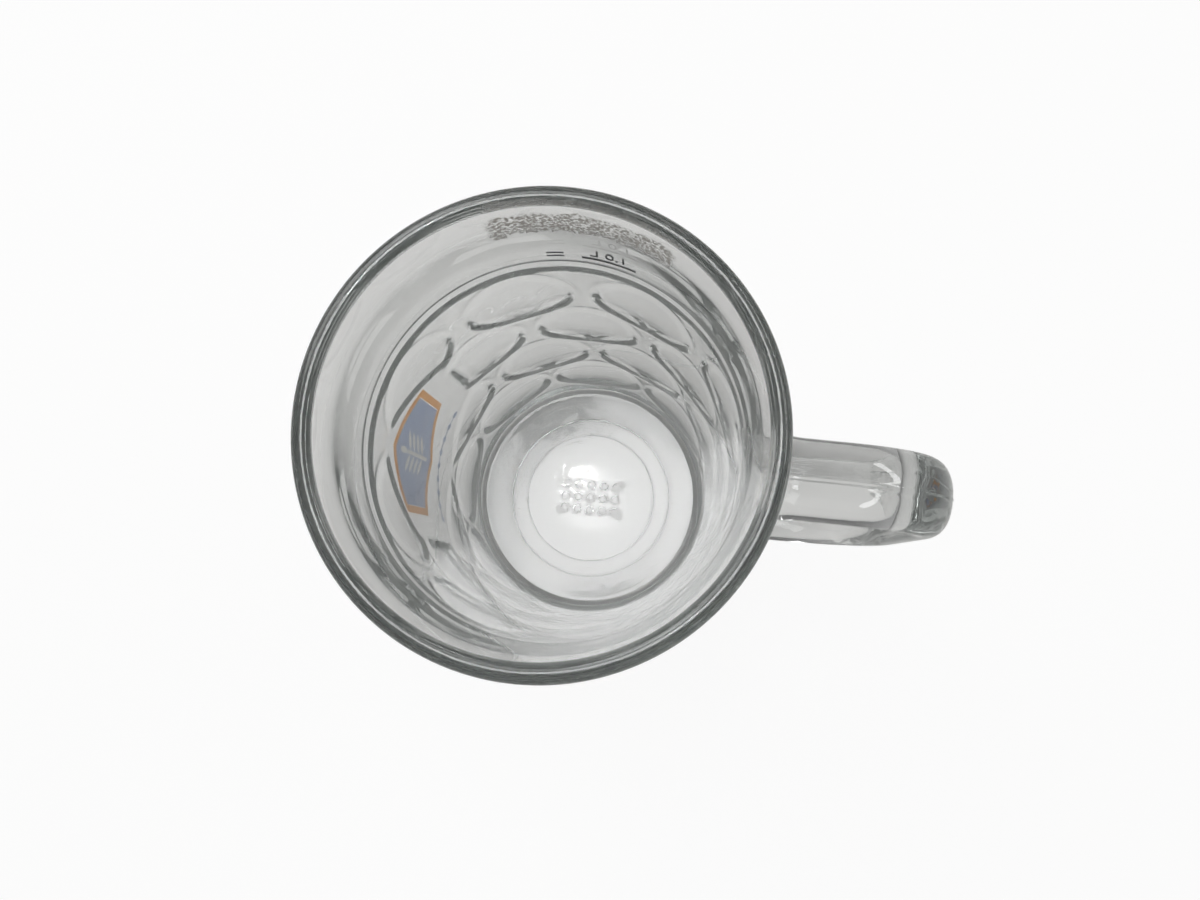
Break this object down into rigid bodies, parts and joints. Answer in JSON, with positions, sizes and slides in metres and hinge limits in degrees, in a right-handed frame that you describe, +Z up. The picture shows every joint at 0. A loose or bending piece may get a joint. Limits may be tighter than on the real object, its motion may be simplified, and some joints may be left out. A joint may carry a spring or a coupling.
{
  "type": "glass beer mug",
  "caption": "Tall heavy pressed-glass beer mug with rows of round dimples, a plain drinking band, a smooth printed panel and a thick D-shaped handle.",
  "frame": {"origin": "on the body's axis, in the plane of the flat underside that the mug stands on", "axes": "+Z up along the body's axis towards the lip, +X towards the handle, +Y completes a right-handed frame"},
  "size_m": [0.1687, 0.115, 0.205],
  "materials": {
    "pressed_glass": "fire-polished clear soda-lime glass with a faint green-grey body tint",
    "handle_glass": "fire-polished clear soda-lime glass with a pressing seam along its spine",
    "black_enamel": "thin fired-on enamel, satin",
    "amber_enamel": "thin fired-on enamel, satin",
    "blue_enamel": "thin fired-on enamel, satin",
    "white_enamel": "thin fired-on enamel, satin"
  },
  "bodies": {
    "root": {"glass_body": "pressed_glass", "handle": "handle_glass", "fill_line": "black_enamel", "badge_frame": "amber_enamel", "badge_field": "blue_enamel", "badge_ear": "white_enamel", "badge_rule": "blue_enamel"}
  },
  "joints": []
}
